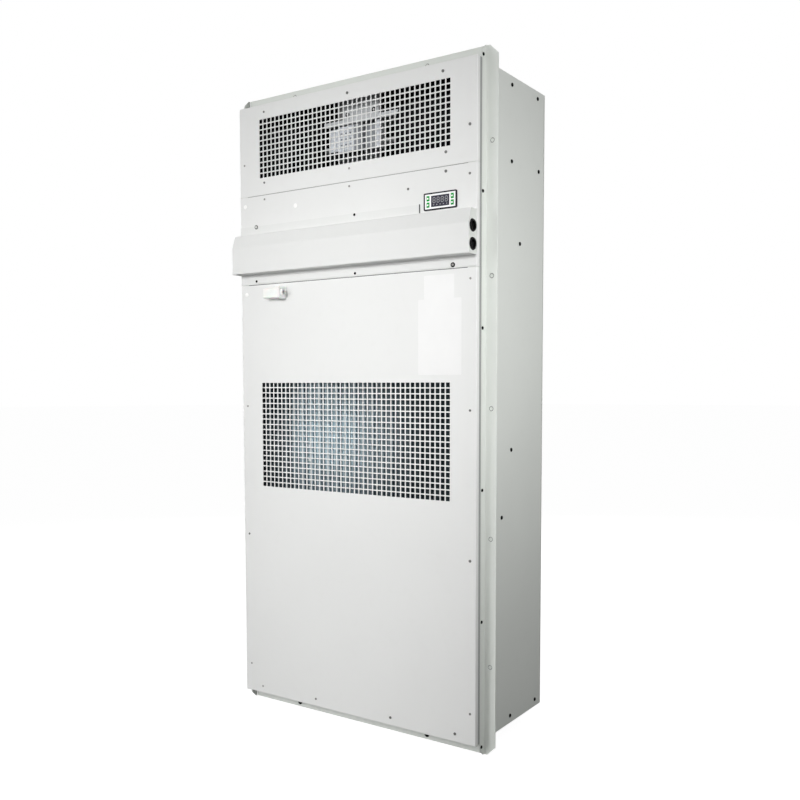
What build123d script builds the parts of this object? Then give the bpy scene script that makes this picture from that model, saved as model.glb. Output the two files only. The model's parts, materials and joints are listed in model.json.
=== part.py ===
from build123d import *
import os

# Cabinet air conditioner that hangs by a frame of four angles in the door or wall of a cabinet.
# The indoor side, with the grilles, the cable duct and the controller, faces -Y.
# The origin is in the middle of the lower angle's back face, +X is to the right, +Z is up.
# All sizes are in millimetres.

# Casing of folded sheet
casing_width = 620.0
casing_height = 1348.0
casing_depth = 300.0
casing_sheet = 1.5
casing_fold = 20.0

# Frame of four angles round the casing
angle_sheet = 2.0
angle_bend = 2.5
angle_flange = 27.0
angle_leg = 20.0
angle_corner_cut = 18.0
end_angle_cut = 19.0
leg_taper = 14.0
flange_setback = 35.0
bolt_radius = 5.0
bolt_pitch = 260.0
bolt_rows = 5
bolt_inset = 12.5
end_bolt_spacing = 350.0

# Three tray lids on the indoor side
lid_sheet = 1.2
lid_return = 13.5
lid_clear = 0.3
lid_bend = 2.0
seam_gap = 1.4
upper_lid_height = 200.0
middle_lid_height = 198.4

# Punched grilles, square holes on one pitch
grille_pitch = 12.0
grille_hole = 9.5
grille_columns = 42
upper_grille_rows = 11
lower_grille_rows = 20
grille_margin = 7.5
upper_grille_drop = 37.5
lower_grille_drop = 228.0

# Cable duct across the middle lid, and its two rubber cable entries
duct_end_clear = 1.5
duct_depth = 30.0
duct_sheet = 1.2
duct_bend = 1.8
duct_rise = 23.0
duct_face = 58.0
duct_slope_rise = 29.0
duct_slope_run = 9.0
duct_lip = 22.0
duct_lip_gap = 11.0
grommet_radius = 12.5
grommet_groove = 10.5
grommet_bore = 8.5
grommet_lip = 2.0
upper_entry = 77.0
lower_entry = 42.0

# Controller in the middle lid
controller_width = 76.0
controller_height = 34.0
controller_x = 229.0
controller_rise = 134.5
controller_proud = 3.0
controller_recess = 0.8
controller_body = 45.0
controller_rim = 2.5
screen_width = 42.0
screen_height = 22.0
screen_sink = 0.5
key_width = 6.5
key_height = 8.5
key_proud = 0.6
key_x = 28.0
key_z = 7.0

# Plastic plug connector on the lower lid
fitting_right = -175.0
fitting_drop = 22.5
fitting_depth = 25.0
fitting_end_length = 12.0
fitting_end_height = 27.0
fitting_plug_length = 37.0
fitting_plug_height = 24.0
fitting_plug_depth = 22.0
fitting_bend = 2.5
rib_count = 3
rib_pitch = 5.0
rib_groove = 1.6
rib_length = 17.0
nut_out = 15.0
nut_radius = 7.5
nut_length = 6.0
nut_bore = 4.5
nut_seat = 10.0

# Indoor fan behind the upper grille
hanger_setback = 45.0
hanger_width = 95.0
hanger_fold = 15.0
hanger_sheet = 2.0
rail_width = 196.0
rail_lip = 7.0
rail_depth = 70.0
rail_drop = 31.0
motor_width = 92.0
motor_height = 54.0
motor_depth = 63.0
motor_gap = 12.0
motor_shift = 38.0
motor_corner = 8.0
post_radius = 12.0
shaft_radius = 6.0
blower_inner = 112.0
blower_width = 150.0
blower_radius = 66.0
blower_inlet = 45.0
blower_wall = 3.0
blade_count = 24
blade_thickness = 2.0
blade_depth = 12.0
wheel_gap = 4.0
lining = 6.0

# Indoor coil behind the lower grille
coil_width = 560.0
coil_height = 330.0
coil_thickness = 60.0
coil_setback = 14.0
coil_plate = 2.0
coil_plate_lap = 3.0
fin_count = 70
fin_depth = 4.0
pan_drop = 30.0
pan_lap = 12.0

# Sheets that divide the casing
shelf_drop = 40.0
partition_setback = 157.0

# Outdoor side
louvre_width = 235.0
louvre_height = 13.0
louvre_proud = 8.0
louvre_sheet = 1.2
louvre_pitch = 26.0
louvre_rows = 12
louvre_gap = 40.0
lower_louvre_rise = 330.0
upper_louvre_drop = 350.0
outdoor_coil_margin = 15.0
outdoor_coil_thickness = 50.0
outdoor_coil_gap = 20.0

# Places that follow from the sizes
half_casing = casing_width / 2
inner_wall = half_casing - casing_sheet
casing_bottom = angle_flange / 2
casing_top = casing_bottom + casing_height
inner_bottom = casing_bottom + casing_sheet
inner_top = casing_top - casing_sheet
lid_front = -flange_setback - angle_sheet
lid_back = lid_front + lid_sheet
casing_front = lid_back + lid_clear
casing_back = lid_front + casing_depth
inner_front = casing_front + casing_sheet
inner_back = casing_back - casing_sheet
fold_back = inner_back - casing_sheet
lid_wrap = lid_clear + lid_sheet
half_lid = half_casing + lid_wrap
lids_bottom = casing_bottom - lid_wrap
lids_top = casing_top + lid_wrap
upper_lid_bottom = lids_top - upper_lid_height
middle_lid_top = upper_lid_bottom - seam_gap
middle_lid_bottom = middle_lid_top - middle_lid_height
lower_lid_top = middle_lid_bottom - seam_gap
seam = middle_lid_bottom - seam_gap / 2
upper_grille_z = lids_top - upper_grille_drop - (upper_grille_rows - 1) * grille_pitch / 2
lower_grille_z = seam - lower_grille_drop - (lower_grille_rows - 1) * grille_pitch / 2
angle_low = casing_bottom - angle_flange
angle_high = casing_top + angle_flange
shelf_z = middle_lid_top - shelf_drop
shelf_top = shelf_z + casing_sheet


def block(x, y, z):
    """A box between three pairs of limits, each in either order."""
    size = [abs(b - a) for a, b in (x, y, z)]
    middle = [(a + b) / 2 for a, b in (x, y, z)]
    return Pos(*middle) * Box(*size)


def about(middle, width):
    """The pair of limits of a width about its middle."""
    return (middle - width / 2, middle + width / 2)


def outline(points):
    """A closed polygon through points in space."""
    return Wire.make_polygon(points, close=True)


def prism(points, way, length):
    """A polygon extruded at right angles to its plane."""
    return extrude(Face(outline(points)), amount=length, dir=way)


def round_bar(radius, ends, plane, x=0.0, y=0.0):
    """A round bar between two distances along a plane's normal."""
    start, end = sorted(ends)
    return extrude(plane.offset(start) * Pos(x, y) * Circle(radius), amount=end - start)


def folded(corners, sheet, bend, side=Side.LEFT):
    """The section of a sheet bent along a line; the sheet lies on one side of the line."""
    path = FilletPolyline(*corners, radius=bend)
    return make_face(offset(path, amount=sheet, side=side))


def flipped(shape, side):
    """The shape as drawn on the right side, or its mirror image on the left."""
    return shape if side > 0 else mirror(shape, Plane.YZ)


def side_panel(side):
    """A wall of the casing, folded inwards along its front and back edges."""
    fold_x = half_casing - casing_fold
    section = folded([(fold_x, casing_front), (half_casing, casing_front),
                      (half_casing, inner_back), (fold_x, inner_back)],
                     casing_sheet, casing_sheet * 2)
    wall = Pos(0, 0, casing_bottom) * extrude(section, amount=casing_height)
    return flipped(wall, side)


def cleared(x, y, z):
    """A box between the casing's walls, its upright corners cut clear of their bends."""
    box = block(x, y, z)
    return chamfer(box.edges().filter_by(Axis.Z), casing_sheet)


def end_panel(edge, way):
    """The top or bottom of the casing, set between the walls and folded like them."""
    width = (-inner_wall, inner_wall)
    folds = (-half_casing + casing_fold, half_casing - casing_fold)
    wall = cleared(width, (inner_front, fold_back), (edge, edge - way * casing_sheet))
    front = block(folds, (casing_front, inner_front), (edge, edge - way * casing_fold))
    back = block(folds, (fold_back, inner_back), (edge, edge - way * casing_fold))
    return wall + front + back


def bolt_hole(x, z):
    """A cutter for one fixing hole of the frame."""
    return round_bar(bolt_radius, (-angle_sheet, 2 * angle_sheet), Plane.XZ, x, z)


def side_angle(side):
    """An upright angle: one leg on the wall, the other turned outwards as the fixing flange."""
    edge = half_casing + angle_flange
    section = folded([(half_casing, -angle_leg), (half_casing, 0), (edge, 0)],
                     angle_sheet, angle_bend + angle_sheet, Side.RIGHT)
    angle = Pos(0, 0, angle_low) * extrude(section, amount=angle_high - angle_low)
    angle -= [corner_cut(edge, angle_low, 1), corner_cut(edge, angle_high, -1),
              leg_cut(angle_low, 1), leg_cut(angle_high, -1)]
    middle = (angle_low + angle_high) / 2
    angle -= [bolt_hole(edge - bolt_inset, middle + place * bolt_pitch) for place in steps(bolt_rows)]
    return flipped(angle, side)


def steps(count):
    """Whole or half steps that lie evenly about nought."""
    return [index - (count - 1) / 2 for index in range(count)]


def corner_cut(edge, end, inwards):
    """The cutter that takes a flange's outer corner off at 45 degrees."""
    cut = angle_corner_cut
    return prism([(edge, angle_sheet, end), (edge, angle_sheet, end + inwards * cut),
                  (edge - cut, angle_sheet, end)], (0, -1, 0), angle_sheet * 4)


def leg_cut(end, inwards):
    """The cutter that slants the end of a leg towards its front edge."""
    x = half_casing - angle_sheet
    return prism([(x, -angle_leg, end), (x, -angle_leg, end + inwards * leg_taper),
                  (x, leg_taper - angle_leg, end)], (1, 0, 0), angle_sheet * 4)


def end_angle(edge, way):
    """The angle along the top or bottom, its ends cut slanting beside the upright legs."""
    outer = edge + way * angle_flange
    side = Side.LEFT if way > 0 else Side.RIGHT
    section = folded([(-angle_leg, edge), (0, edge), (0, outer)], angle_sheet,
                     angle_bend + angle_sheet, side)
    angle = extrude(Plane.YZ.offset(-half_casing) * section, amount=casing_width)
    for corner in (-half_casing, half_casing):
        inwards = -end_angle_cut if corner > 0 else end_angle_cut
        y = angle_sheet
        angle -= prism([(corner, y, outer), (corner, y, edge - way), (corner + inwards, y, edge - way),
                        (corner + inwards, y, edge)], (0, -1, 0), angle_leg * 2)
    hole_z = edge + way * (angle_flange - bolt_inset)
    return angle - [bolt_hole(x, hole_z) for x in about(0, end_bolt_spacing)]


def tray(low, high, closed_low, closed_high):
    """A lid: a front sheet with folded sides, and a folded end where it wraps the casing."""
    skin = block((-half_lid, half_lid), (lid_front, lid_front + lid_return), (low, high))
    front_edges = skin.edges().group_by(Axis.Y)[0]
    bends = front_edges.filter_by(Axis.Z)
    ends = front_edges.filter_by(Axis.X).sort_by(Axis.Z)
    if closed_low:
        bends += ends[:1]
    if closed_high:
        bends += ends[-1:]
    skin = fillet(bends, lid_bend)
    inner = half_lid - lid_sheet
    hollow = block((-inner, inner), (lid_back, lid_front + lid_return * 2),
                   (low + lid_sheet if closed_low else low - lid_sheet,
                    high - lid_sheet if closed_high else high + lid_sheet))
    return skin - hollow


def through_lid(x, z):
    """A cutter through a lid's front sheet."""
    return block(x, (lid_front - lid_sheet, lid_back + lid_sheet), z)


def grille_length(count):
    """The length of a punched sheet with this many holes, margins included."""
    return (count - 1) * grille_pitch + grille_hole + 2 * grille_margin


def grille_window(rows, middle_z):
    """A cutter for the opening that a punched sheet fills."""
    return through_lid(about(0, grille_length(grille_columns)), about(middle_z, grille_length(rows)))


def rectangle(x, z, y):
    """A closed rectangle in an upright plane."""
    return outline([(x[0], y, z[0]), (x[1], y, z[0]), (x[1], y, z[1]), (x[0], y, z[1])])


def punched_sheet(x_limits, columns, rows, middle_z):
    """A flat sheet with a square hole at each column and row."""
    holes = []
    for column in columns:
        x = about(column * grille_pitch, grille_hole)
        holes += [rectangle(x, about(middle_z + row * grille_pitch, grille_hole), lid_front)
                  for row in steps(rows)]
    edge = rectangle(x_limits, about(middle_z, grille_length(rows)), lid_front)
    return extrude(Face(edge, holes), amount=lid_sheet, dir=(0, 1, 0))


def upper_lid():
    return tray(upper_lid_bottom, lids_top, False, True) - grille_window(upper_grille_rows, upper_grille_z)


def middle_lid():
    cutout = through_lid(about(controller_x, controller_width - 2 * controller_rim),
                         about(controller_z, controller_height - 2 * controller_rim))
    return tray(middle_lid_bottom, middle_lid_top, False, False) - cutout


def lower_lid():
    return tray(lids_bottom, lower_lid_top, True, False) - grille_window(lower_grille_rows, lower_grille_z)


def upper_grille():
    half = grille_length(grille_columns) / 2
    return punched_sheet((-half, half), steps(grille_columns), upper_grille_rows, upper_grille_z)


def lower_grille(side):
    half = grille_length(grille_columns) / 2
    columns = [step for step in steps(grille_columns) if step * side > 0]
    return punched_sheet(sorted((0, side * half)), columns, lower_grille_rows, lower_grille_z)


controller_z = seam + controller_rise
half_duct = half_lid - duct_end_clear
duct_bottom = seam + duct_rise
duct_shoulder = duct_bottom + duct_face
duct_top = duct_shoulder + duct_slope_rise
duct_nose = lid_front - duct_depth
duct_brow = duct_nose + duct_slope_run
entry_y = lid_front - duct_depth / 2


def cable_duct():
    """A hat section: a lip on the lid, a flat top, a slope, the front, the bottom and a lip again."""
    inner_nose = duct_nose + duct_sheet
    inner_brow = duct_brow + duct_sheet
    section = folded([(lid_front, duct_top + duct_lip), (lid_front, duct_top - duct_sheet),
                      (inner_brow, duct_top - duct_sheet), (inner_nose, duct_shoulder),
                      (inner_nose, duct_bottom + duct_sheet), (lid_front, duct_bottom + duct_sheet),
                      (lid_front, duct_bottom + duct_sheet - duct_lip)],
                     duct_sheet, duct_bend - duct_sheet, Side.RIGHT)
    duct = extrude(Plane.YZ.offset(-half_duct) * section, amount=2 * half_duct)
    lip_end = controller_x - controller_width / 2 - duct_lip_gap
    return duct - block((lip_end, half_duct), (lid_front - duct_bend * 2, lid_front),
                        (duct_top + duct_sheet / 4, duct_top + duct_lip))


def duct_end(side):
    """The plate that closes an end of the duct; the right one holds the cable entries."""
    top = duct_top - duct_sheet
    inner_nose = duct_nose + duct_sheet
    points = [(0, lid_front, duct_bottom + duct_sheet), (0, inner_nose, duct_bottom + duct_sheet),
              (0, inner_nose, duct_shoulder), (0, duct_brow + duct_sheet, top), (0, lid_front, top)]
    plate = Pos(half_duct - duct_sheet, 0, 0) * prism(points, (1, 0, 0), duct_sheet)
    bends = [edge for edge in plate.edges().filter_by(Axis.X) if edge.center().Y < lid_front - duct_bend]
    plate = fillet(bends, duct_bend - duct_sheet)
    if side > 0:
        plate -= [entry_cutter(upper_entry), entry_cutter(lower_entry)]
    return flipped(plate, side)


def entry_cutter(rise):
    """A cutter for the hole that a grommet's groove fills."""
    ends = about(half_duct, duct_sheet * 4)
    return round_bar(grommet_groove, ends, Plane.YZ, entry_y, seam + rise)


def grommet(rise):
    """A rubber ring whose groove holds the edge of the end plate."""
    section = outline([(grommet_bore, 0, -duct_sheet - grommet_lip),
                       (grommet_radius, 0, -duct_sheet - grommet_lip),
                       (grommet_radius, 0, -duct_sheet), (grommet_groove, 0, -duct_sheet),
                       (grommet_groove, 0, 0), (grommet_radius, 0, 0),
                       (grommet_radius - grommet_lip / 2, 0, grommet_lip), (grommet_bore, 0, grommet_lip)])
    ring = revolve(Face(section), Axis.Z, 360)
    return Pos(half_duct, entry_y, seam + rise) * Rot(0, 90, 0) * ring


controller_front = lid_front - controller_proud
controller_plate = controller_front + controller_recess
screen_back = controller_plate + screen_sink


def on_controller(width, height, y):
    """A box about the middle of the controller."""
    return block(about(controller_x, width), y, about(controller_z, height))


def controller_frame():
    rim = on_controller(controller_width, controller_height, (controller_front, lid_front))
    rim = fillet(rim.edges().filter_by(Axis.Y), controller_rim)
    return rim - on_controller(controller_width - 2 * controller_rim, controller_height - 2 * controller_rim,
                               (controller_front - 1, lid_front + 1))


def controller_face():
    """The white front plate, with the instrument's case behind it."""
    case = on_controller(controller_width - 2 * controller_rim, controller_height - 2 * controller_rim,
                         (controller_plate, lid_back + controller_body))
    return case - on_controller(screen_width, screen_height, (controller_plate - 1, screen_back))


def controller_screen():
    return on_controller(screen_width, screen_height, (controller_plate + screen_sink / 4, screen_back))


def controller_keys():
    keys = [Pos(controller_x + x, controller_plate - key_proud / 2, controller_z + z)
            * Box(key_width, key_proud, key_height)
            for x in about(0, 2 * key_x) for z in about(0, 2 * key_z)]
    return Compound(children=keys)


fitting_z = seam - fitting_drop
fitting_middle = fitting_right - fitting_end_length


def fitting_body():
    """A plug connector: a square end with a round cable entry, and the ribbed plug beside it."""
    end = block((fitting_middle, fitting_right), (lid_front - fitting_depth, lid_front),
                about(fitting_z, fitting_end_height))
    end = chamfer(end.edges().filter_by(Axis.X).group_by(Axis.Y)[0], fitting_bend)
    plug = block((fitting_middle - fitting_plug_length, fitting_middle),
                 (lid_front - fitting_plug_depth, lid_front), about(fitting_z, fitting_plug_height))
    plug = chamfer(plug.edges().filter_by(Axis.X).group_by(Axis.Y)[0], fitting_bend)
    groove_y = lid_front - fitting_plug_depth
    grooves = [block((fitting_middle - rib_length, fitting_middle - rib_groove),
                     (groove_y - 1, groove_y + rib_groove),
                     about(fitting_z + rib * rib_pitch, rib_groove)) for rib in steps(rib_count)]
    seat = round_bar(nut_bore, (fitting_right - nut_seat, fitting_right + 1), Plane.YZ,
                     lid_front - nut_out, fitting_z)
    return end + plug - grooves - seat


def fitting_nut():
    """The round collar on the connector's cable entry."""
    y = lid_front - nut_out
    ends = (fitting_right, fitting_right + nut_length)
    collar = round_bar(nut_radius, ends, Plane.YZ, y, fitting_z)
    collar = chamfer(collar.edges().group_by(Axis.X)[-1], nut_radius / 8)
    return collar - round_bar(nut_bore, ends, Plane.YZ, y, fitting_z)


hanger_y = lid_front + hanger_setback
rail_top = upper_grille_z + rail_drop + rail_lip
rail_back = hanger_y + rail_depth
motor_top = rail_top - rail_lip - motor_gap
motor_x = -motor_shift
motor_y = hanger_y + motor_depth / 2
motor_z = motor_top - motor_height / 2


def fan_bracket():
    """The folded hanger under the casing's top, and the rail that it carries."""
    half = hanger_width / 2
    section = folded([(-half, hanger_y + hanger_fold), (-half, hanger_y), (half, hanger_y),
                      (half, hanger_y + hanger_fold)], hanger_sheet, hanger_sheet * 2)
    plate = Pos(0, 0, rail_top) * extrude(section, amount=inner_top - lining - rail_top)
    rail_x = about(0, rail_width)
    lip = block(rail_x, (hanger_y, hanger_y + hanger_sheet), (rail_top - rail_lip, rail_top))
    return plate + lip + block(rail_x, (hanger_y, rail_back), (rail_top - hanger_sheet, rail_top))


def fan_motor():
    """The motor's white housing, on a post under the rail, with its shaft out of both sides."""
    body = block(about(motor_x, motor_width), about(motor_y, motor_depth), about(motor_z, motor_height))
    body = fillet(body.edges().filter_by(Axis.X), motor_corner)
    post = round_bar(post_radius, (motor_top, rail_top - hanger_sheet), Plane.XY, motor_x, motor_y)
    return body + post


def fan_shaft(side):
    """A shaft end between the motor and a blower wheel."""
    start = motor_x + side * motor_width / 2
    end = side * (blower_inner + blower_wall + wheel_gap)
    return round_bar(shaft_radius, (start, end), Plane.YZ, motor_y, motor_z)


def blower(side):
    """A scroll housing: round above, with its outlet down through the shelf."""
    z = motor_z
    back = motor_y + blower_radius
    limits = (blower_inner, blower_inner + blower_width)
    round_part = round_bar(blower_radius, limits, Plane.YZ, motor_y, z)
    throat = block(limits, (motor_y, back), (shelf_top, z))
    inside = (blower_inner + blower_wall, blower_inner + blower_width - blower_wall)
    hollow = round_bar(blower_radius - blower_wall, inside, Plane.YZ, motor_y, z)
    duct = block(inside, (motor_y + blower_wall, back - blower_wall), (shelf_top - 1, z))
    inlet = round_bar(blower_inlet, (blower_inner - 1, inside[0] + 1), Plane.YZ, motor_y, z)
    return flipped(round_part + throat - hollow - duct - inlet, side)


def blower_wheel(side):
    """A wheel of forward blades between two rings, on the shaft."""
    start = blower_inner + blower_wall + wheel_gap
    end = blower_inner + blower_width - blower_wall - wheel_gap
    disc = round_bar(blower_inlet, (end - blower_wall, end), Plane.YZ, motor_y, motor_z)
    ring = round_bar(blower_inlet, (start, start + blower_wall), Plane.YZ, motor_y, motor_z)
    ring -= round_bar(blower_inlet - blade_depth, (start - 1, start + blower_wall + 1), Plane.YZ,
                      motor_y, motor_z)
    hub = round_bar(shaft_radius * 2, (start, end), Plane.YZ, motor_y, motor_z)
    blade = block((start, end), (blower_inlet - blade_depth + blade_thickness,
                                 blower_inlet - blade_thickness), about(0, blade_thickness))
    blades = [Pos(0, motor_y, motor_z) * Rot(360 / blade_count * index, 0, 0) * blade
              for index in range(blade_count)]
    return flipped(disc + ring + hub + blades, side)


def chamber_lining():
    """The black foam on the walls, the back and the ceiling of the fan's chamber."""
    outer = cleared((-inner_wall, inner_wall), (inner_front, fold_back), (shelf_top, inner_top))
    inner = block((-inner_wall + lining, inner_wall - lining), (inner_front - 1, fold_back - lining),
                  (shelf_top - 1, inner_top - lining))
    return outer - inner


coil_front = lid_back + coil_setback
coil_back = coil_front + coil_thickness
coil_low = lower_grille_z - coil_height / 2
coil_high = lower_grille_z + coil_height / 2
pan_low = coil_low - pan_drop
pan_back = coil_back + pan_lap


def coil_fins():
    """The finned block of the indoor coil, toothed towards the grille."""
    pitch = coil_width / (2 * fin_count - 1)
    points = [(-coil_width / 2, coil_back, coil_low)]
    for fin in range(fin_count):
        start = -coil_width / 2 + 2 * fin * pitch
        points += [(start, coil_front, coil_low), (start + pitch, coil_front, coil_low)]
        if fin < fin_count - 1:
            points += [(start + pitch, coil_front + fin_depth, coil_low),
                       (start + 2 * pitch, coil_front + fin_depth, coil_low)]
    points.append((coil_width / 2, coil_back, coil_low))
    return prism(points, (0, 0, 1), coil_height)


def coil_end(side):
    """A sheet at an end of the coil, which stands in the drain pan."""
    start = coil_width / 2
    plate = block((start, start + coil_plate), (coil_front - coil_plate_lap, coil_back + coil_plate_lap),
                  (pan_low + casing_sheet, coil_high + coil_plate_lap))
    return flipped(plate, side)


def drain_pan():
    """The tray under the coil, hung between the casing's walls."""
    rim = coil_low - coil_plate_lap
    tray_outside = cleared((-inner_wall, inner_wall), (inner_front, pan_back), (pan_low, rim))
    return tray_outside - block((-inner_wall + casing_sheet, inner_wall - casing_sheet),
                                (inner_front + casing_sheet, pan_back - casing_sheet),
                                (pan_low + casing_sheet, rim + 1))


def shelf():
    """The sheet under the fan's chamber, open where the blowers blow down."""
    sheet = cleared((-inner_wall, inner_wall), (inner_front, fold_back), (shelf_z, shelf_top))
    wall = blower_wall
    for side in (-1, 1):
        x = (side * (blower_inner + wall), side * (blower_inner + blower_width - wall))
        sheet -= block(x, (motor_y + wall, motor_y + blower_radius - wall), (shelf_z - 1, shelf_top + 1))
    return sheet


def partition():
    """The upright sheet that keeps indoor and outdoor air apart."""
    y = lid_front + partition_setback
    return block((-inner_wall, inner_wall), (y, y + casing_sheet), (inner_bottom, shelf_z))


lower_louvre_z = casing_bottom + lower_louvre_rise
upper_louvre_z = casing_top - upper_louvre_drop
louvre_x = (louvre_width + louvre_gap) / 2


def louvre_hood():
    """A pressed hood over a slot: sloped above, closed at the ends and open below."""
    half = louvre_width / 2
    outer = prism([(-half, 0, 0), (-half, louvre_proud, 0), (-half, 0, louvre_height)],
                  (1, 0, 0), louvre_width)
    inset = louvre_sheet
    inner = prism([(-half + inset, -1, -1), (-half + inset, louvre_proud - inset, -1),
                   (-half + inset, louvre_proud - inset, 0), (-half + inset, 0, louvre_height - 2 * inset),
                   (-half + inset, -1, louvre_height - 2 * inset)], (1, 0, 0), louvre_width - 2 * inset)
    return outer - inner


def back_panel():
    """The outdoor side: one sheet with two fields of louvres in two columns."""
    places = [(x, middle + step * louvre_pitch) for middle in (lower_louvre_z, upper_louvre_z)
              for step in steps(louvre_rows) for x in (-louvre_x, louvre_x)]
    slot_width = louvre_width - 2 * louvre_sheet
    slots = [rectangle(about(x, slot_width), (z, z + louvre_height - 2 * louvre_sheet), inner_back)
             for x, z in places]
    edge = rectangle((-half_casing, half_casing), (casing_bottom, casing_top), inner_back)
    sheet = extrude(Face(edge, slots), amount=casing_sheet, dir=(0, 1, 0))
    hood = louvre_hood()
    return sheet + [Pos(x, casing_back, z) * hood for x, z in places]


outdoor_coil_y = (inner_back - outdoor_coil_gap - outdoor_coil_thickness, inner_back - outdoor_coil_gap)
outdoor_coil_z = about(lower_louvre_z, louvre_rows * louvre_pitch + 2 * outdoor_coil_margin)


def outdoor_coil():
    """The outdoor coil behind the lower louvres."""
    return block((-coil_width / 2, coil_width / 2), outdoor_coil_y, outdoor_coil_z)


def outdoor_coil_end(side):
    """An end sheet that fixes the outdoor coil to the back panel."""
    start = coil_width / 2
    plate = block((start, start + coil_plate), (outdoor_coil_y[0], inner_back), outdoor_coil_z)
    return flipped(plate, side)


nodes = {
    "side_panel_left": side_panel(-1),
    "side_panel_right": side_panel(1),
    "top_panel": end_panel(casing_top, 1),
    "bottom_panel": end_panel(casing_bottom, -1),
    "back_panel": back_panel(),
    "mounting_angle_left": side_angle(-1),
    "mounting_angle_right": side_angle(1),
    "mounting_angle_top": end_angle(casing_top, 1),
    "mounting_angle_bottom": end_angle(casing_bottom, -1),
    "upper_lid": upper_lid(),
    "middle_lid": middle_lid(),
    "lower_lid": lower_lid(),
    "upper_grille": upper_grille(),
    "lower_grille_left": lower_grille(-1),
    "lower_grille_right": lower_grille(1),
    "cable_duct": cable_duct(),
    "cable_duct_end_left": duct_end(-1),
    "cable_duct_end_right": duct_end(1),
    "grommet_upper": grommet(upper_entry),
    "grommet_lower": grommet(lower_entry),
    "controller_frame": controller_frame(),
    "controller_face": controller_face(),
    "controller_screen": controller_screen(),
    "controller_keys": controller_keys(),
    "fitting_body": fitting_body(),
    "fitting_nut": fitting_nut(),
    "fan_bracket": fan_bracket(),
    "fan_motor": fan_motor(),
    "fan_shaft_left": fan_shaft(-1),
    "fan_shaft_right": fan_shaft(1),
    "blower_left": blower(-1),
    "blower_right": blower(1),
    "blower_wheel_left": blower_wheel(-1),
    "blower_wheel_right": blower_wheel(1),
    "chamber_lining": chamber_lining(),
    "shelf": shelf(),
    "partition": partition(),
    "coil_fins": coil_fins(),
    "coil_plate_left": coil_end(-1),
    "coil_plate_right": coil_end(1),
    "drain_pan": drain_pan(),
    "outdoor_coil": outdoor_coil(),
    "outdoor_coil_plate_left": outdoor_coil_end(-1),
    "outdoor_coil_plate_right": outdoor_coil_end(1),
}

os.makedirs("parts", exist_ok=True)
for name, shape in nodes.items():
    export_step(shape, f"parts/{name}.step")
    print(name, len(shape.solids()), round(shape.volume))
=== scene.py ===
"""Finishes, fasteners, small sheet pieces, labels, display and studio of the air conditioner."""
import json
import math

import bpy
from mathutils import Matrix, Vector


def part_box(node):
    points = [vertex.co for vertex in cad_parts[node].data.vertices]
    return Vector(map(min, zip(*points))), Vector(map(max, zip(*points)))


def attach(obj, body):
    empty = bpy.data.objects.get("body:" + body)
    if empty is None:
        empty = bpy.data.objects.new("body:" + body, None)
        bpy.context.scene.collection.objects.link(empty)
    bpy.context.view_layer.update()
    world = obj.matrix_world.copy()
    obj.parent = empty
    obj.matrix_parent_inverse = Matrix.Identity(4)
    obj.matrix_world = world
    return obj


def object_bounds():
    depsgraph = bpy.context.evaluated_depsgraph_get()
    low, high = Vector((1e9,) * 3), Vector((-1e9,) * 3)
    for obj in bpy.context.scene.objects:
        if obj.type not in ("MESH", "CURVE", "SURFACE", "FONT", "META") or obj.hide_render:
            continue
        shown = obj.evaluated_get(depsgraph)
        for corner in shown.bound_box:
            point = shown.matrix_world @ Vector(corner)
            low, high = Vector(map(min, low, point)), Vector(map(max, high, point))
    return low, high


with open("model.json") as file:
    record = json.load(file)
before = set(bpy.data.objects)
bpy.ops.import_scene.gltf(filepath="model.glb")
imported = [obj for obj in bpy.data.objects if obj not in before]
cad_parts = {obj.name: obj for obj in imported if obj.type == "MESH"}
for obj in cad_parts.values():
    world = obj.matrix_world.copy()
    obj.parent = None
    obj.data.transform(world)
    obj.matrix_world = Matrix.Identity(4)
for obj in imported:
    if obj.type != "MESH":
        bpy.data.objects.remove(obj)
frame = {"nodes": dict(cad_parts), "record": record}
nodes = frame["nodes"]
cad_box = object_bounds()

MM = 0.001

# Sheets and gaps of the modelled unit
duct_sheet = 1.2 * MM
casing_sheet = 1.5 * MM
angle_sheet = 2 * MM
flange_width = 27 * MM
half_seam_gap = 0.7 * MM

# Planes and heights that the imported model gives
lid_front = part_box("middle_lid")[0].y
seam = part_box("middle_lid")[0].z - half_seam_gap
wall_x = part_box("side_panel_right")[1].x
leg_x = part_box("mounting_angle_right")[0].x + angle_sheet
back_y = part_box("side_panel_right")[1].y + casing_sheet
floor_z = cad_box[0].z

# The indoor coil: its fins, its rows of tubes, and the middle and reach of the pool of light painted on
# it, across and up
fin_pitch = 2.1 * MM
tube_pitch = 25 * MM
painted_light_middle = (-75 * MM, seam - 345 * MM)
painted_light_reach = (185 * MM, 135 * MM)

# The photograph's viewing angle
camera_place = (1.1736, -1.5730, 0.7387)
camera_turn = (86.30, 0.11, 34.16)
camera_lens = 40.53
camera_shift = 0.0514


# Materials


class Field:
    """A value that varies over a surface; Python's operators on it add Math nodes."""

    def __init__(self, tree, socket):
        self.tree = tree
        self.socket = socket

    def maths(self, operation, *values):
        return self.tree.add("ShaderNodeMath", {"operation": operation}, dict(enumerate(values)))

    def __add__(self, other):
        return self.maths("ADD", self, other)

    __radd__ = __add__

    def __sub__(self, other):
        return self.maths("SUBTRACT", self, other)

    def __mul__(self, other):
        return self.maths("MULTIPLY", self, other)

    def __truediv__(self, other):
        return self.maths("DIVIDE", self, other)

    def sine(self):
        return self.maths("SINE", self)

    def part(self, index):
        """One of the three parts of a place or a direction."""
        return self.tree.add("ShaderNodeSeparateXYZ", {}, {0: self}, index)

    def beside(self, output):
        """Another output of the same node."""
        return Field(self.tree, self.socket.node.outputs[output])


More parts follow.
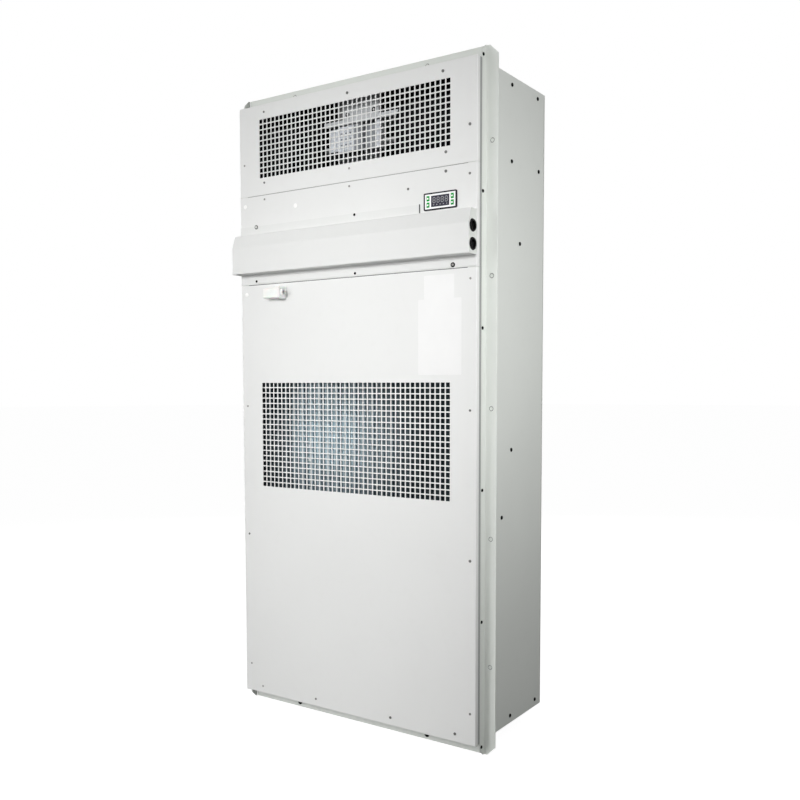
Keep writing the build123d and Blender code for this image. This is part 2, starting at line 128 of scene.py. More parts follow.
class Nodes:
    """A node tree of a material or of the world."""

    def __init__(self, tree):
        self.tree = tree

    def add(self, kind, settings, sockets, output=0):
        """Adds a node of a kind: its settings first, then the values or links of its sockets."""
        node = self.tree.nodes.new(kind)
        for key, value in settings.items():
            if key == "stops":
                self.set_stops(node.color_ramp, value)
            else:
                setattr(node, key, value)
        for key, value in sockets.items():
            self.join(value, node.inputs[key])
        return Field(self, node.outputs[output])

    def set_stops(self, ramp, stops):
        while len(ramp.elements) < len(stops):
            ramp.elements.new(0.5)
        for element, (place, shade) in zip(ramp.elements, stops):
            element.position = place
            element.color = (shade, shade, shade, 1.0)

    def join(self, value, socket):
        if isinstance(value, Field):
            self.tree.links.new(value.socket, socket)
        else:
            socket.default_value = value


class Finish(Nodes):
    """A material, its shader's own values, and the nodes added to it."""

    def __init__(self, name, colour, roughness, **values):
        self.material = bpy.data.materials.new(name)
        self.material.use_nodes = True
        super().__init__(self.material.node_tree)
        self.shader = self.tree.nodes["Principled BSDF"]
        self.colour = (*colour, 1.0)
        self.shader.inputs["Base Color"].default_value = self.colour
        self.shader.inputs["Roughness"].default_value = roughness
        for key, value in values.items():
            self.shader.inputs[key.replace("_", " ").title().replace("Ior", "IOR")].default_value = value
        self.place = self.add("ShaderNodeTexCoord", {}, {}, "Object")

    def feed(self, socket, value):
        """Sends a field to one of the shader's sockets."""
        self.join(value, self.shader.inputs[socket])

    def noise(self, scale, detail=2.0, stretch=(1.0, 1.0, 1.0)):
        """Cloudy noise between 0 and 1 with this many spots a metre."""
        place = self.add("ShaderNodeMapping", {}, {"Vector": self.place, "Scale": stretch})
        return self.add("ShaderNodeTexNoise", {}, {"Vector": place, "Scale": scale, "Detail": detail})

    def ramp(self, field, stops):
        return self.add("ShaderNodeValToRGB", {"stops": stops}, {0: field})

    def blend(self, amount, first, second):
        """A colour between two, by a field from 0 to 1."""
        settings = {"data_type": "RGBA", "clamp_factor": True}
        return self.add("ShaderNodeMix", settings, {0: amount, 6: first, 7: second}, output=2)

    def shade(self, factor):
        """The finish's own colour made lighter or darker."""
        return tuple(part * factor for part in self.colour[:3]) + (1.0,)

    def relief(self, height, depth, strength=1.0, under=None):
        """A Bump node of a height field; depth is in metres."""
        sockets = {"Height": height, "Distance": depth, "Strength": strength}
        if under is not None:
            sockets["Normal"] = under
        return self.add("ShaderNodeBump", {}, sockets)


def powder_coat(name, colour, roughness, drift):
    """Fine textured paint: orange peel, slow changes of tone, and a little dust."""
    paint = Finish(name, colour, roughness, specular_ior_level=0.42)
    slow = paint.ramp(paint.noise(4.0, 3.0), [(0.3, 0.0), (0.7, 1.0)])
    fine = paint.noise(900.0, 2.0)
    grain = paint.noise(2600.0, 1.0)
    dust = paint.ramp(paint.noise(45.0, 6.0), [(0.56, 0.0), (0.72, 1.0)])
    tone = paint.blend(slow, paint.shade(1.0 - drift), paint.shade(1.0 + drift))
    speck = paint.blend(grain * 0.05, tone, paint.shade(0.82))
    paint.feed("Base Color", paint.blend(dust * 0.03, speck, (0.55, 0.53, 0.48, 1.0)))
    paint.feed("Roughness", roughness - 0.05 + fine * 0.06 + dust * 0.08)
    peel = paint.relief(fine, 0.00005, 0.35)
    paint.feed("Normal", paint.relief(grain, 0.00002, 0.3, peel))
    return paint


def moulded_plastic(name, colour, roughness, grain_depth=0.00003, **values):
    """Plastic with a faint mould texture and uneven gloss."""
    plastic = Finish(name, colour, roughness, **values)
    slow = plastic.noise(60.0, 2.0)
    fine = plastic.noise(1800.0, 2.0)
    plastic.feed("Base Color", plastic.blend(slow, plastic.shade(0.93), plastic.shade(1.05)))
    plastic.feed("Roughness", roughness - 0.06 + slow * 0.08 + fine * 0.04)
    plastic.feed("Normal", plastic.relief(fine, grain_depth, 0.4))
    return plastic


def zinc_sheet(name, colour, roughness):
    """Galvanised steel: soft spangle and rolling lines."""
    zinc = Finish(name, colour, roughness, metallic=0.75)
    cells = zinc.add("ShaderNodeTexVoronoi", {"feature": "F1"}, {"Vector": zinc.place, "Scale": 160.0},
                     output="Color")
    spangle = cells.part(0)
    lines = zinc.noise(300.0, 2.0, (0.05, 1.0, 1.0))
    tone = zinc.blend(spangle * 0.5 + lines * 0.5, zinc.shade(0.85), zinc.shade(1.08))
    zinc.feed("Base Color", tone)
    zinc.feed("Roughness", roughness - 0.08 + spangle * 0.12 + lines * 0.06)
    zinc.feed("Normal", zinc.relief(lines, 0.00002, 0.3))
    return zinc


def black_fastener():
    """Blackened steel, a little worn and greasy."""
    steel = Finish("blackened_steel", (0.004, 0.004, 0.004), 0.8, specular_ior_level=0.05)
    wear = steel.ramp(steel.noise(900.0, 3.0), [(0.55, 0.0), (0.75, 1.0)])
    steel.feed("Base Color", steel.blend(wear, steel.colour, (0.016, 0.016, 0.016, 1.0)))
    steel.feed("Roughness", 0.7 + wear * 0.2)
    steel.feed("Normal", steel.relief(steel.noise(2400.0), 0.00002, 0.4))
    return steel


def worn_steel(name, colour):
    """Dull plated steel of a small screw, with patches of darker and lighter tone."""
    steel = Finish(name, colour, 0.5, metallic=0.35, specular_ior_level=0.3)
    patch = steel.noise(1200.0, 3.0)
    steel.feed("Base Color", steel.blend(patch, steel.shade(0.75), steel.shade(1.25)))
    steel.feed("Roughness", 0.42 + patch * 0.2)
    steel.feed("Normal", steel.relief(patch, 0.00002, 0.4))
    return steel


def foam():
    """Open black foam."""
    cells = Finish("open_foam", (0.004, 0.004, 0.005), 0.95, specular_ior_level=0.05)
    pores = cells.add("ShaderNodeTexVoronoi", {}, {"Vector": cells.place, "Scale": 420.0})
    cells.feed("Base Color", cells.blend(pores, (0.002, 0.002, 0.003, 1.0), (0.006, 0.006, 0.007, 1.0)))
    cells.feed("Roughness", 0.9 + cells.noise(300.0) * 0.1)
    cells.feed("Normal", cells.relief(pores, 0.0008, 0.7))
    return cells


def rubber():
    """Black rubber, matt with a dusty bloom."""
    ring = Finish("grommet_rubber", (0.004, 0.004, 0.005), 0.75, specular_ior_level=0.1)
    bloom = ring.noise(500.0, 4.0)
    ring.feed("Base Color", ring.blend(bloom, ring.colour, (0.012, 0.012, 0.013, 1.0)))
    ring.feed("Roughness", 0.68 + bloom * 0.2)
    ring.feed("Normal", ring.relief(bloom, 0.00004, 0.5))
    return ring


def coated_fins():
    """Blue coated coil fins: a line for each fin's edge, a painted pool of light in the middle and painted
    shade towards the ends and the left.
    """
    fins = Finish("coated_fins", (0.004, 0.012, 0.020), 0.55, specular_ior_level=0.15)
    across = fins.place.part(0) + (fins.noise(30.0) - 0.5) * 0.0008
    edge = (across * (2.0 * math.pi / fin_pitch)).sine() * 0.5 + 0.5
    rows = (fins.place.part(2) * (2.0 * math.pi / tube_pitch)).sine() * 0.5 + 0.5
    # The pale fin colours are painted light and the dark ones painted shade; the shade also covers the
    # coil's left end.
    dull = fins.blend(edge, (0.016, 0.024, 0.028, 1.0), (0.034, 0.052, 0.062, 1.0))
    painted_lit_fins = fins.blend(edge, (0.42, 0.54, 0.60, 1.0), (0.66, 0.83, 0.90, 1.0))
    aside = (fins.place.part(0) - painted_light_middle[0]) / painted_light_reach[0]
    above = (fins.place.part(2) - painted_light_middle[1]) / painted_light_reach[1]
    painted_shade_left = fins.ramp(fins.place.part(0) * -4.0, [(0.62, 0.0), (0.84, 1.0)])
    far = aside * aside + above * above + (fins.noise(14.0, 3.0) - 0.5) * 0.5 + painted_shade_left * 0.9
    near = fins.ramp(far * 0.5, [(0.0, 1.0), (0.25, 0.58), (0.6, 0.16), (1.0, 0.0)])
    tone = fins.blend(near, dull, painted_lit_fins)
    patch = fins.ramp(fins.noise(22.0, 3.0), [(0.35, 0.0), (0.7, 1.0)])
    fins.feed("Base Color", fins.blend(patch * 0.12 + rows * 0.1, tone, (0.012, 0.018, 0.022, 1.0)))
    fins.feed("Roughness", 0.38 + edge * 0.2)
    fins.feed("Normal", fins.relief(edge, 0.0005, 0.8))
    return fins


def bare_paper():
    """A blank label: smooth white film with a faint fibre and a cloudy tone."""
    film = Finish("bare_label_film", (0.805, 0.805, 0.80), 0.42, specular_ior_level=0.4)
    fibre = film.noise(1400.0, 3.0)
    cloud = film.noise(30.0, 2.0)
    film.feed("Base Color", film.blend(cloud, film.shade(0.975), film.shade(1.015)))
    film.feed("Roughness", 0.30 + fibre * 0.08)
    film.feed("Normal", film.relief(fibre, 0.00001, 0.3))
    return film


lid_paint = powder_coat("lid_powder_coat", (0.760, 0.765, 0.755), 0.46, 0.012)
casing_paint = powder_coat("casing_powder_coat", (0.700, 0.725, 0.690), 0.50, 0.018)
duct_paint = powder_coat("duct_powder_coat", (0.722, 0.728, 0.717), 0.46, 0.012)
white_plastic = moulded_plastic("connector_plastic", (0.86, 0.865, 0.85), 0.35,
                                subsurface_weight=0.15, subsurface_scale=0.004)
motor_plastic = moulded_plastic("motor_plastic", (0.80, 0.84, 0.88), 0.30, coat_weight=0.2)
white_face = moulded_plastic("face_film", (0.90, 0.91, 0.90), 0.30)
dark_plastic = moulded_plastic("bezel_plastic", (0.016, 0.015, 0.020), 0.5, specular_ior_level=0.15)
black_plastic = moulded_plastic("housing_plastic", (0.004, 0.004, 0.005), 0.6, specular_ior_level=0.08)
# The bell plastic, a little darker than the case, and the grey end plastic are painted shade on the
# motor's front.
motor_shade = moulded_plastic("motor_bell_plastic", (0.76, 0.80, 0.84), 0.40)
motor_painted_shade = moulded_plastic("painted_shade_motor_end", (0.30, 0.32, 0.34), 0.45)
cap_plastic = moulded_plastic("cap_plastic", (0.95, 0.95, 0.94), 0.32)
plug_rim_shade_grey = moulded_plastic("painted_shade_plug_rim", (0.20, 0.21, 0.20), 0.6, specular_ior_level=0.2)
painted_shade_grey = moulded_plastic("painted_shade_seam_strip", (0.30, 0.30, 0.30), 0.8, specular_ior_level=0.1)
painted_shade_dark = moulded_plastic("painted_shade_dark_strip", (0.10, 0.10, 0.10), 0.7, specular_ior_level=0.1)
groove_shade_grey = moulded_plastic("painted_shade_groove_strip", (0.36, 0.37, 0.36), 0.7, specular_ior_level=0.1)
cap_black = moulded_plastic("dark_plug_plastic", (0.006, 0.006, 0.006), 0.6, specular_ior_level=0.1)
key_plastic = moulded_plastic("key_film", (0.001, 0.32, 0.040), 0.5, specular_ior_level=0.1)
screen_film = moulded_plastic("screen_film", (0.042, 0.040, 0.060), 0.4, 0.00001, specular_ior_level=0.1)
segment_film = moulded_plastic("segment_film", (0.36, 0.36, 0.37), 0.45, 0.00001, specular_ior_level=0.1)
zinc = zinc_sheet("galvanised_sheet", (0.62, 0.64, 0.65), 0.42)
plated = zinc_sheet("plated_washer", (0.70, 0.70, 0.68), 0.30)
black_steel = black_fastener()
grey_steel = worn_steel("grey_screw_steel", (0.165, 0.165, 0.160))
pale_steel = worn_steel("pale_screw_steel", (0.31, 0.30, 0.29))
foam_finish = foam()
rubber_finish = rubber()
fin_finish = coated_fins()
label_finish = bare_paper()

finishes = {
    casing_paint: ["side_panel_left", "side_panel_right", "top_panel", "bottom_panel", "back_panel",
                   "mounting_angle_left", "mounting_angle_right", "mounting_angle_top",
                   "mounting_angle_bottom", "cable_duct_end_left", "cable_duct_end_right"],
    lid_paint: ["upper_lid", "middle_lid", "lower_lid", "upper_grille", "lower_grille_left",
                "lower_grille_right"],
    duct_paint: ["cable_duct"],
    rubber_finish: ["grommet_upper", "grommet_lower"],
    dark_plastic: ["controller_frame"],
    white_face: ["controller_face"],
    screen_film: ["controller_screen"],
    key_plastic: ["controller_keys"],
    white_plastic: ["fitting_body", "fitting_nut"],
    motor_plastic: ["fan_motor"],
    black_plastic: ["blower_left", "blower_right", "blower_wheel_left", "blower_wheel_right"],
    foam_finish: ["chamber_lining"],
    fin_finish: ["coil_fins", "outdoor_coil"],
    zinc: ["fan_bracket", "fan_shaft_left", "fan_shaft_right", "shelf", "partition", "drain_pan",
           "coil_plate_left", "coil_plate_right", "outdoor_coil_plate_left", "outdoor_coil_plate_right"],
}
for finish, names in finishes.items():
    for name in names:
        for holder in nodes[name].material_slots:
            holder.material = finish.material


# Modelling helpers


def deselect():
    bpy.ops.object.select_all(action="DESELECT")


def started(name):
    """Names the primitive just added."""
    piece = bpy.context.object
    piece.name = name
    piece.data.name = name
    return piece


def pick(piece, kind, wanted):
    """Goes into edit mode with the faces, edges or points for which wanted holds."""
    bpy.ops.object.mode_set(mode="EDIT")
    bpy.ops.mesh.select_mode(type=kind)
    bpy.ops.mesh.select_all(action="DESELECT")
    bpy.ops.object.mode_set(mode="OBJECT")
    items = {"FACE": piece.data.polygons, "EDGE": piece.data.edges, "VERT": piece.data.vertices}[kind]
    for item in items:
        item.select = bool(wanted(item))
    bpy.ops.object.mode_set(mode="EDIT")


def edge_middle(piece, edge):
    first, second = (piece.data.vertices[index].co for index in edge.vertices)
    return (first + second) / 2


def edge_run(piece, edge):
    """The step from one end of an edge to the other."""
    first, second = (piece.data.vertices[index].co for index in edge.vertices)
    return second - first


def faces_up(face):
    return face.normal.z > 0.9


def done():
    """Leaves edit mode."""
    bpy.ops.object.mode_set(mode="OBJECT")


def box(name, size, place):
    """A cube primitive of a size at a place, shaped in edit mode."""
    deselect()
    bpy.ops.mesh.primitive_cube_add(size=1.0, location=(0, 0, 0))
    piece = started(name)
    bpy.ops.object.mode_set(mode="EDIT")
    bpy.ops.mesh.select_all(action="SELECT")
    bpy.ops.transform.resize(value=size)
    bpy.ops.transform.translate(value=place)
    done()
    return piece


def cylinder(name, vertices, radius, height):
    """A cylinder primitive that stands on the origin."""
    deselect()
    bpy.ops.mesh.primitive_cylinder_add(vertices=vertices, radius=radius, depth=height,
                                        location=(0, 0, height / 2))
    piece = started(name)
    bpy.ops.object.transform_apply(location=True, rotation=False, scale=False)
    return piece


def cut(piece, cutter):
    """Cuts one piece out of another and removes the cutter."""
    deselect()
    piece.select_set(True)
    bpy.context.view_layer.objects.active = piece
    modifier = piece.modifiers.new("cut", "BOOLEAN")
    modifier.object = cutter
    modifier.solver = "EXACT"
    bpy.ops.object.modifier_apply(modifier=modifier.name)
    bpy.data.objects.remove(cutter)


def smooth(piece, degrees=35):
    """Smooth shading, apart from edges sharper than an angle."""
    deselect()
    piece.select_set(True)
    bpy.context.view_layer.objects.active = piece
    bpy.ops.object.shade_smooth_by_angle(angle=math.radians(degrees))


def finished(piece, finish):
    """Gives a piece its material and slot, and lets it ride on the unit."""
    piece.data.materials.clear()
    piece.data.materials.append(finish.material)
    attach(piece, "root")


def copied(master, name, facing, place, spin=0.0):
    """A copy with its own mesh: spun, turned to face a way, and with its place in its mesh."""
    deselect()
    master.select_set(True)
    bpy.context.view_layer.objects.active = master
    bpy.ops.object.duplicate(linked=False)
    piece = started(name)
    turn = {"up": Matrix.Identity(4),
            "front": Matrix.Rotation(math.radians(90), 4, "X"),
            "back": Matrix.Rotation(math.radians(-90), 4, "X"),
            "right": Matrix.Rotation(math.radians(90), 4, "Y"),
            "left": Matrix.Rotation(math.radians(-90), 4, "Y")}[facing]
    piece.matrix_world = Matrix.Translation(place) @ turn @ Matrix.Rotation(math.radians(spin), 4, "Z")
    bpy.ops.object.transform_apply(location=True, rotation=True, scale=True)
    return piece


def joined(pieces, name):
    """Several pieces made into one."""
    deselect()
    for piece in pieces:
        piece.select_set(True)
    bpy.context.view_layer.objects.active = pieces[0]
    bpy.ops.object.join()
    return started(name)


# Fasteners

# Degrees from one screw's recess to the next one's
spin_step = 37


def screw_head(radius, height):
    """A rounded head with a cross recess, upright at the origin."""
    head = cylinder("screw_head", 20, radius, height)
    pick(head, "FACE", faces_up)
    bpy.ops.mesh.bevel(offset=height * 0.55, segments=3)
    done()
    for size in ((radius * 0.9, radius * 0.2, height), (radius * 0.2, radius * 0.9, height)):
        cut(head, box("recess", size, (0, 0, height * 0.95)))
    smooth(head)
    return head


def washer(radius, hole, height):
    """A flat ring with eased edges."""
    ring = cylinder("washer", 28, radius, height)
    pick(ring, "FACE", faces_up)
    bpy.ops.mesh.bevel(offset=height * 0.3, segments=2)
    done()
    bpy.ops.mesh.primitive_cylinder_add(vertices=28, radius=hole, depth=height * 4)
    cut(ring, started("washer_hole"))
    smooth(ring)
    return ring


def plug_cap(radius, height):
    """A domed cap with a thin rim: each ring further in stands a share of the height higher."""
    cap = cylinder("plug_cap", 24, radius, height * 0.4)
    for inset, rise in ((0.12, 0.0), (0.22, 0.32), (0.22, 0.18), (0.2, 0.08)):
        pick(cap, "FACE", lambda face: faces_up(face) and len(face.vertices) > 10)
        bpy.ops.mesh.inset(thickness=radius * inset)
        bpy.ops.transform.translate(value=(0, 0, height * rise))
        done()
    smooth(cap, 60)
    return cap


def front(x, rise, out=0.0):
    """A place on the lids' front, from millimetres across and above the seam."""
    return Vector((x * MM, lid_front - out, seam + rise * MM))


def hole_plug(radius, height):
    """A push-in plug with a chamfered rim and a dished middle."""
    plug = cylinder("hole_plug", 24, radius, height)
    pick(plug, "FACE", faces_up)
    bpy.ops.mesh.inset(thickness=radius * 0.22)
    bpy.ops.transform.translate(value=(0, 0, -height * 0.3))
    bpy.ops.mesh.inset(thickness=radius * 0.1)
    done()
    smooth(plug, 30)
    return plug


def place_one(master, name, facing, place, finish, spin=0.0):
    """One copy of a fastener, with its finish, riding on the unit."""
    finished(copied(master, name, facing, place, spin), finish)


def place_all(master, name, facing, places, finish):
    """One copy of a fastener at each place, each turned a little differently."""
    for number, place in enumerate(places, 1):
        spin = (number * spin_step) % 90
        place_one(master, f"{name}_{number}", facing, place, finish, spin)


def screw_set(name, radius, height, finish, places):
    """Screws of one size on the lids; the size is in millimetres."""
    master = screw_head(radius * MM, height * MM)
    place_all(master, name, "front", [front(*place) for place in places], finish)
    bpy.data.objects.remove(master)


# Places on the front: millimetres across, and above the seam under the middle lid
wide_screws = [(-1, 383), (234, 383), (295, 272), (241, 227), (241, 190), (298, -576), (105, -933),
               (264, -933)]
small_screws = [(-236, 383), (-237, 227), (152, 166), (295, 179), (297, -278), (-296, -576), (299, -885),
                (-99, -933)]
pale_screws = [(-297, 272), (3, 227), (-237, 190), (3, 190), (297, -21.5), (-296, -277), (-294, -885),
               (-259, -934)]
rivets = [(17, 129), (18, 7), (-263, 8)]
cap_places = [(-296, 179), (-146, 166), (-295, -21)]
duct_rings = [((-262, 130), grey_steel, plated), ((258, 7), black_steel, pale_steel)]

screw_set("wide_screw", 3.0, 1.6, grey_steel, wide_screws)
screw_set("small_screw", 2.5, 1.4, grey_steel, small_screws)
screw_set("pale_screw", 2.3, 1.2, pale_steel, pale_screws)

rivet = plug_cap(2.8 * MM, 1.4 * MM)
place_all(rivet, "duct_rivet", "front", [front(*place, duct_sheet) for place in rivets], black_steel)
cap = plug_cap(4.8 * MM, 1.3 * MM)
place_all(cap, "lid_cap", "front", [front(*place) for place in cap_places], cap_plastic)

ring_washer = washer(4.9 * MM, 2.4 * MM, 0.9 * MM)
ring_screw = screw_head(2.6 * MM, 1.4 * MM)
out_of_washer = 0.4 * MM
for number, (place, finish, middle) in enumerate(duct_rings, 1):
    place_one(ring_washer, f"duct_washer_{number}", "front", front(*place, duct_sheet), finish)
    place_one(ring_screw, f"ringed_screw_{number}", "front", front(*place, duct_sheet + out_of_washer),
              middle, 20.0 * number)
hanger_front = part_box("fan_bracket")[0].y
for number, x in enumerate((-35, 35), 1):
    place = Vector((x * MM, hanger_front, seam + 354 * MM))
    place_one(ring_washer, f"hanger_washer_{number}", "front", place, black_steel)
    place_one(ring_screw, f"hanger_screw_{number}", "front", place - Vector((0, out_of_washer, 0)),
              plated, 30.0 * number)

# Places on the sides: millimetres back from the lids' front, and above the seam
wall_places = [(145, 381), (264, 383), (145, 228), (271, 230.5), (184, 66), (150, -364), (109, -502),
               (272, -933), (152, -933)]
# Places on the frame's legs: millimetres in front of the cabinet, and up
leg_places = [(14, 5.0), (15, 261.0), (15, 526.0), (16, 845.5), (16.4, 1109.5), (16.4, 1368.0)]
wall_screw = screw_head(4.1 * MM, 1.7 * MM)
leg_screw = screw_head(3.4 * MM, 1.5 * MM)
for side, sign in (("right", 1), ("left", -1)):
    on_wall = [Vector((sign * wall_x, lid_front + depth * MM, seam + rise * MM))
               for depth, rise in wall_places]
    place_all(wall_screw, f"wall_screw_{side}", side, on_wall, black_steel)
    on_leg = [Vector((sign * leg_x, -depth * MM, height * MM)) for depth, height in leg_places]
    place_all(leg_screw, f"leg_screw_{side}", side, on_leg, black_steel)

back_rows = [40, 260, 480, 700, 920, 1140, 1335]
back_places = [Vector((sign * 298 * MM, back_y, height * MM)) for height in back_rows for sign in (-1, 1)]
place_all(leg_screw, "back_screw", "back", back_places, black_steel)

# Plugs that close the fixing holes of the frame until it is hung
plug = hole_plug(3.6 * MM, 1.6 * MM)
# The plugs' dark grey rims are the painted shade on the walls of the holes.
plug_rim = washer(4.9 * MM, 3.6 * MM, 1.2 * MM)
black_cap = plug_cap(6.0 * MM, 3.0 * MM)
in_hole = Vector((0, -0.1 * MM, 0))
cap_shift = Vector((0, -2.0, -1.5)) * MM
for pattern in frame["record"]["mounts"]:
    if pattern["kind"] != "bolt_pattern":
        continue
    middle = Vector(pattern["pos_m"])
    across = pattern["dims"]["spacing_x_mm"] * MM / 2
    up = pattern["dims"].get("spacing_y_mm", 0.0) * MM / 2
    heights = (-up, up) if up else (up,)
    spots = [middle + Vector((sign * across, 0, height)) + in_hole
             for sign in (-1, 1) for height in heights]
    for number, place in enumerate(spots, 1):
        name = f"{pattern['name']}_plug_{number}"
        if place.z < floor_z + flange_width:
            place_one(black_cap, name, "front", place + cap_shift, cap_black)
        else:
            place_one(plug, name, "front", place, casing_paint)
            place_one(plug_rim, f"{name}_rim", "front", place, plug_rim_shade_grey)

for master in (rivet, cap, ring_washer, ring_screw, wall_screw, leg_screw, plug, plug_rim, black_cap):
    bpy.data.objects.remove(master)


# Small sheet and plastic pieces behind or beside the lids, and strips of painted shade


def block(name, x, y, rise, finish, ease=0.0):
    """A box between limits in millimetres: across, back from the flange, and above the seam."""
    size = [(high - low) * MM for low, high in (x, y, rise)]
    middle = (sum(x) * MM / 2, sum(y) * MM / 2, seam + sum(rise) * MM / 2)
    piece = box(name, size, middle)
    if ease:
        pick(piece, "EDGE", lambda edge: True)
        bpy.ops.mesh.bevel(offset=ease * MM, segments=2)
        done()
    finished(piece, finish)
    return piece


# Cross rails behind the two seams of the lids, dark grey as the painted shade in the seams
block("lower_seam_rail", (-289, 289), (-35.7, -34.3), (-12, 12), painted_shade_dark)
block("upper_seam_rail", (-289, 289), (-35.7, -34.3), (187.8, 211.8), painted_shade_grey)

# A grey strip along the rear edge of the lids' folded sides, as the painted shade of the groove between
# lid and leg
top_rise = (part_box("upper_lid")[1].z - seam) / MM
bottom_rise = (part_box("lower_lid")[0].z - seam) / MM
for side, limits in (("right", (311.52, 311.8)), ("left", (-311.8, -311.52))):
    block(f"lid_groove_painted_shade_{side}", limits, (-27.3, -20.4), (bottom_rise + 2, top_rise - 2), groove_shade_grey)


def corner_filler(name, side, end, outwards):
    """A three-cornered plate beside the slanted end of a fixing strip."""
    width = 19 * MM
    thick = 1.0 * MM
    x = side * 300.5 * MM
    z = end - outwards * flange_width / 2
    piece = box(name, (width, thick, flange_width), (x, -0.7 * MM, z))
    pick(piece, "VERT", lambda point: abs(point.co.x) < abs(x) and (point.co.z - z) * outwards > 0)
    bpy.ops.transform.translate(value=(side * width, 0, 0))
    bpy.ops.mesh.select_all(action="SELECT")
    bpy.ops.mesh.remove_doubles(threshold=0.01 * MM)
    done()
    finished(piece, casing_paint)


for side_name, side in (("left", -1), ("right", 1)):
    corner_filler(f"corner_top_{side_name}", side, cad_box[1].z, 1)
    corner_filler(f"corner_bottom_{side_name}", side, cad_box[0].z, -1)

# A dark strip at the end of the duct's upper lip, as the painted shadow in the gap under the lip's end
block("lip_end_painted_shadow", (178.9, 180.9), (-38.5, -37.0), (115, 132.5), painted_shade_dark, 0.3)

# Two clips on the front of the coil
coil_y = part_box("coil_fins")[0].y / MM
for number, rise in enumerate((-364, -396), 1):
    block(f"coil_clip_{number}", (-126, -120), (coil_y - 1.5, coil_y - 0.2), (rise - 3, rise + 3),
          white_plastic, 0.4)

# The front edges of the fan's rail and hanger; the hanger's left fold is dark grey steel as painted shade
block("rail_edge", (-98, 98), (6.4, 7.8), (335, 344), zinc)
block("hanger_fold", (-61, -46), (6.6, 7.8), (344.2, 394), grey_steel)
block("hanger_edge", (46, 49.5), (6.6, 7.8), (344.2, 394), zinc)

# The fan motor's front: case, a black strip painted as the shadow under the motor, bell with a rounded
# end, slots, end shield and mounting rim; the rounded end, the slots and the end shield are grey as
# painted shade
bell_y = (-6, 7.8)
bell_rise = (273, 326)
bell_right = 12.4
block("motor_case_front", (-84, -46), (5.5, 7.8), (279, 327), motor_plastic, 0.8)
block("motor_painted_shadow_strip", (-84.5, 9), (5.5, 7.8), (264, 278.5), black_plastic)
block("motor_bell", (-47.6, -7), bell_y, bell_rise, motor_shade, 0.6)
bell_end = block("motor_bell_end", (-6.9, bell_right), bell_y, bell_rise, motor_painted_shade)
rounded_edge = Vector((bell_right * MM, bell_y[0] * MM, seam + sum(bell_rise) * MM / 2))
pick(bell_end, "EDGE", lambda edge: (edge_middle(bell_end, edge) - rounded_edge).length < 1 * MM)
bpy.ops.mesh.bevel(offset=13 * MM, segments=8)
done()
smooth(bell_end, 50)
slot_pitch = 12
for column in range(3):
    for row in range(3):
        x = -43 + column * slot_pitch
        rise = 285.5 + row * slot_pitch
        block(f"motor_slot_{column}_{row}", (x, x + 5), (-6.3, -6.0), (rise, rise + 3), motor_painted_shade)
block("motor_shield", (bell_right, 36), (12, 14), (275, 327), motor_painted_shade, 0.5)
block("motor_rim", (44, 56), (0, 16), (271, 329), motor_plastic, 1.0)


# Bare labels on the lower lid


def label(name, x, rise):
    """A blank label between two limits across and two above the seam, with rounded corners."""
    thick = 0.15 * MM
    size = ((x[1] - x[0]) * MM, thick, (rise[1] - rise[0]) * MM)
    middle = front((x[0] + x[1]) / 2, (rise[0] + rise[1]) / 2, thick / 2)
    piece = box(name, size, middle)
    pick(piece, "EDGE", lambda edge: abs(edge_run(piece, edge).y) > thick / 2)
    bpy.ops.mesh.bevel(offset=1.5 * MM, segments=4)
    done()
    finished(piece, label_finish)


label("small_label", (190, 260), (-57, -10))
label("large_label", (176, 277), (-208, -57))


# Display

face_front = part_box("controller_face")[0].y
key_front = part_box("controller_keys")[0].y
screen_low, screen_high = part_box("controller_screen")
screen_middle = (screen_low + screen_high) / 2
digit_count = 4
digit_pitch = 9.4 * MM
digit_rise = 2.2 * MM
bar_aside = 2.6 * MM
bar_above = 5.0 * MM
print_out = 0.05 * MM


def segment(length, width):
    """One bar of a digit, pointed at both ends, in the upright plane."""
    deselect()
    bpy.ops.mesh.primitive_circle_add(vertices=6, radius=width * 0.6, fill_type="NGON",
                                      rotation=(math.radians(90), 0, 0))
    bar = started("segment")
    bpy.ops.object.transform_apply(location=False, rotation=True, scale=False)
    for sign in (-1, 1):
        pick(bar, "VERT", lambda point: point.co.x * sign > width * 0.05)
        bpy.ops.transform.translate(value=(sign * (length - width) / 2, 0, 0))
        done()
    return bar


def digit_bars(bar, x, z):
    """Seven bars of a digit about its middle: three level ones, then four upright ones."""
    places = [(0, bar_above, "up"), (0, 0, "up"), (0, -bar_above, "up")]
    places += [(across * bar_aside, up * bar_above / 2, "right") for across in (-1, 1) for up in (-1, 1)]
    return [copied(bar, "digit_bar", facing, (x + across, screen_low.y - print_out, z + up))
            for across, up, facing in places]


bar = segment(4.6 * MM, 1.15 * MM)
bars = []
for number in range(digit_count):
    x = screen_middle.x + (number - (digit_count - 1) / 2) * digit_pitch
    bars += digit_bars(bar, x, screen_middle.z + digit_rise)
bpy.data.objects.remove(bar)
digits = joined(bars, "display_digits")
finished(digits, segment_film)


def on_face(name, x, z, size, finish, out):
    """A thin printed patch on the controller, about a place measured from its middle."""
    thick = 0.1 * MM
    middle = screen_middle + Vector((x * MM, 0, z * MM))
    middle.y = out - thick / 2
    finished(box(name, (size[0] * MM, thick, size[1] * MM), middle), finish)


# Small marks under the digits, and on each key a white mark and a green foot
key_x = 28
for number in range(5):
    on_face(f"screen_mark_{number}", (number - 2) * 7.6, -6.9, (2.4, 1.7), segment_film,
            screen_low.y)
for side, column in (("left", -1), ("right", 1)):
    for level, row in (("lower", -1), ("upper", 1)):
        on_face(f"key_foot_{side}_{level}", column * key_x, row * 2.0, (6.5, 1.5), key_plastic,
                face_front)
        on_face(f"key_mark_{side}_{level}", column * key_x - 0.6, row * 6.3, (3.4, 3.2), white_face,
                key_front)


# Studio


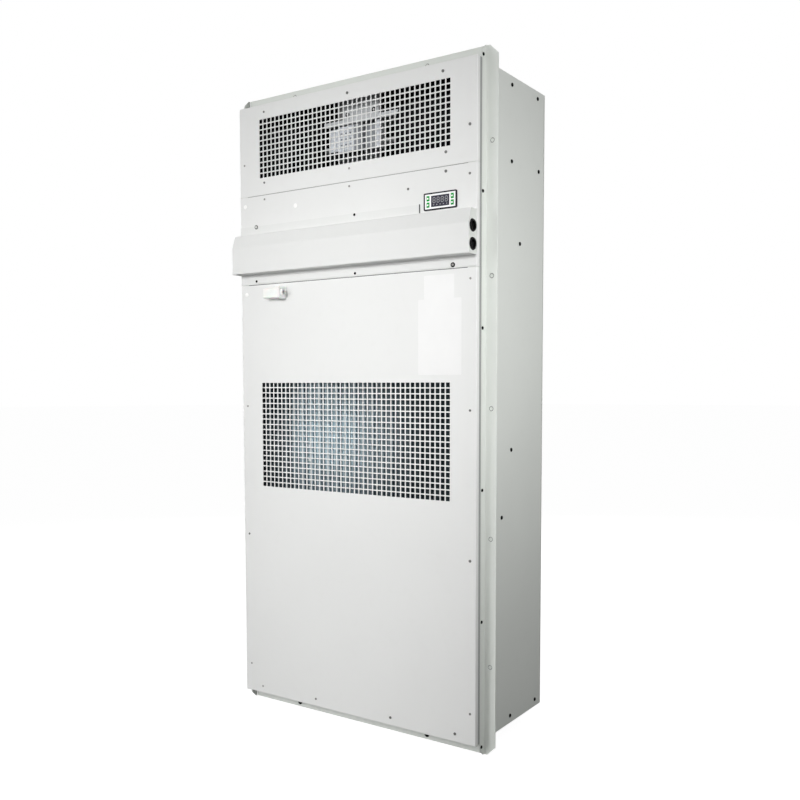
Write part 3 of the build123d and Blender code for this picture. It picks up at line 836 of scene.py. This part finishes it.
def lamp(name, place, target, size, power, spread=180):
    """A square soft light aimed at a place; the spread narrows its beam."""
    deselect()
    bpy.ops.object.light_add(type="AREA", location=place)
    light = bpy.context.object
    light.name = name
    light.data.size = size
    light.data.energy = power
    light.data.spread = math.radians(spread)
    light.rotation_euler = (Vector(target) - Vector(place)).to_track_quat("-Z", "Y").to_euler()


lamp("left_softbox", (-1.0, -2.2, 1.05), (0.0, 0.0, 0.9), 1.2, 19.5)
lamp("high_softbox", (0.3, -2.2, 1.35), (-0.04, 0.0, 0.84), 0.6, 2.7, 50)
lamp("low_softbox", (-0.4, -2.0, 0.5), (0.0, 0.0, -0.25), 0.5, 1.5, 55)
lamp("side_softbox", (1.15, -0.1, 0.93), (0.31, 0.1, 0.88), 0.5, 6.0)
lamp("back_softbox", (-1.5, 2.4, 1.3), (0.0, 0.26, 0.7), 1.2, 34)

# Soft white light all round, and plain white wherever the camera or a reflection sees past the unit
world = bpy.data.worlds.new("studio")
bpy.context.scene.world = world
world.use_nodes = True
sky = Nodes(world.node_tree)
sky.tree.nodes.remove(sky.tree.nodes["Background"])
white = (1.0, 1.0, 1.0, 1.0)
ray = sky.add("ShaderNodeLightPath", {}, {}, "Is Camera Ray")
seen = ray + ray.beside("Is Glossy Ray") + ray.beside("Is Transmission Ray")
dim = sky.add("ShaderNodeBackground", {}, {"Color": white, "Strength": 0.24})
bright = sky.add("ShaderNodeBackground", {}, {"Color": white, "Strength": 1.0})
mixed = sky.add("ShaderNodeMixShader", {}, {0: seen, 1: dim, 2: bright})
sky.join(mixed, sky.tree.nodes["World Output"].inputs["Surface"])

# A pale floor that looks as white as the background, so that only the shadow shows on it
deselect()
bpy.ops.mesh.primitive_circle_add(vertices=64, radius=30.0, fill_type="NGON", location=(0, 0, floor_z))
floor = started("floor")
bpy.ops.object.transform_apply(location=True, rotation=False, scale=False)
floor_finish = Finish("pale_floor", (0.20, 0.20, 0.20), 0.9, specular_ior_level=0.0)
camera_ray = floor_finish.add("ShaderNodeLightPath", {}, {}, "Is Camera Ray")
floor_finish.shader.inputs["Emission Color"].default_value = white
floor_finish.feed("Emission Strength", camera_ray * 0.94)
floor.data.materials.append(floor_finish.material)

camera_data = bpy.data.cameras.new("camera")
camera = bpy.data.objects.new("camera", camera_data)
bpy.context.scene.collection.objects.link(camera)
bpy.context.scene.camera = camera
camera.location = camera_place
camera.rotation_euler = [math.radians(angle) for angle in camera_turn]
camera_data.lens = camera_lens
camera_data.sensor_width = 36.0
camera_data.shift_y = camera_shift
camera_data.clip_start = 0.05
camera_data.clip_end = 100.0
bpy.context.scene.view_settings.view_transform = "Standard"
